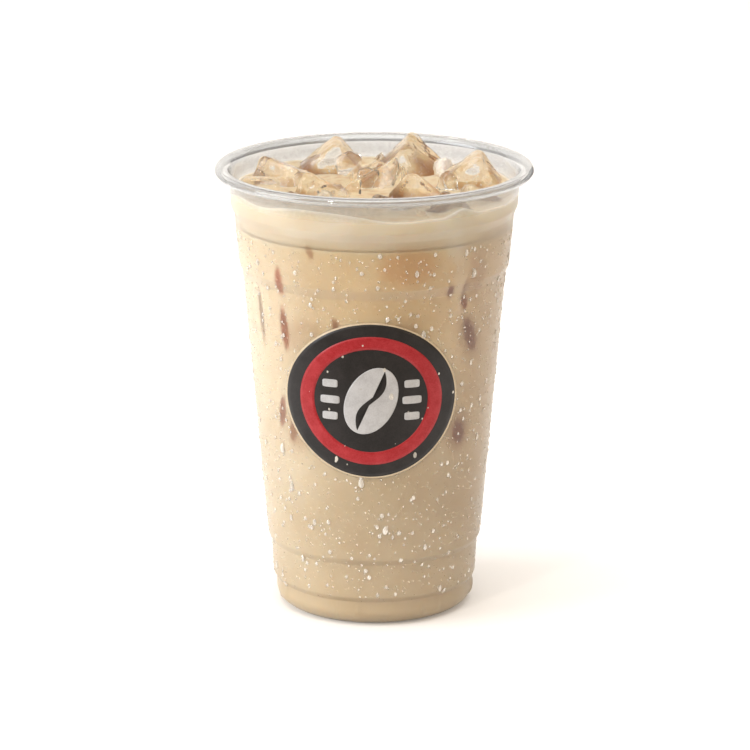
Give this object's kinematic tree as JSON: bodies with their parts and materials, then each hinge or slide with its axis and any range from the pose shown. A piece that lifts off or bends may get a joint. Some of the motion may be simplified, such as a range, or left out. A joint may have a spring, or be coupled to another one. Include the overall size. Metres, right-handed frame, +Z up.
{
  "type": "iced latte",
  "caption": "Iced breve latte in a clear plastic cold cup with a rolled lip, stepped wall and lugged foot, ice cubes breaking the foam and an oval label.",
  "frame": {"origin": "centre of the foot ring, on the surface the cup stands on", "axes": "+Z up along the cup's axis, -Y towards the label"},
  "size_m": [0.098, 0.098, 0.1427],
  "materials": {
    "clear_pet": "clear gloss",
    "milk_coffee": "opaque liquid",
    "milk_foam": "wet froth",
    "ice": "wet, clear to cloudy",
    "label_vinyl": "printed film"
  },
  "bodies": {
    "root": {"cup": "clear_pet", "drink": "milk_coffee", "foam": "milk_foam", "ice_01": "ice", "ice_02": "ice", "ice_03": "ice", "ice_04": "ice", "ice_05": "ice", "ice_06": "ice", "ice_07": "ice", "ice_08": "ice", "ice_09": "ice", "ice_10": "ice", "ice_11": "ice", "ice_12": "ice", "label": "label_vinyl"}
  },
  "joints": []
}
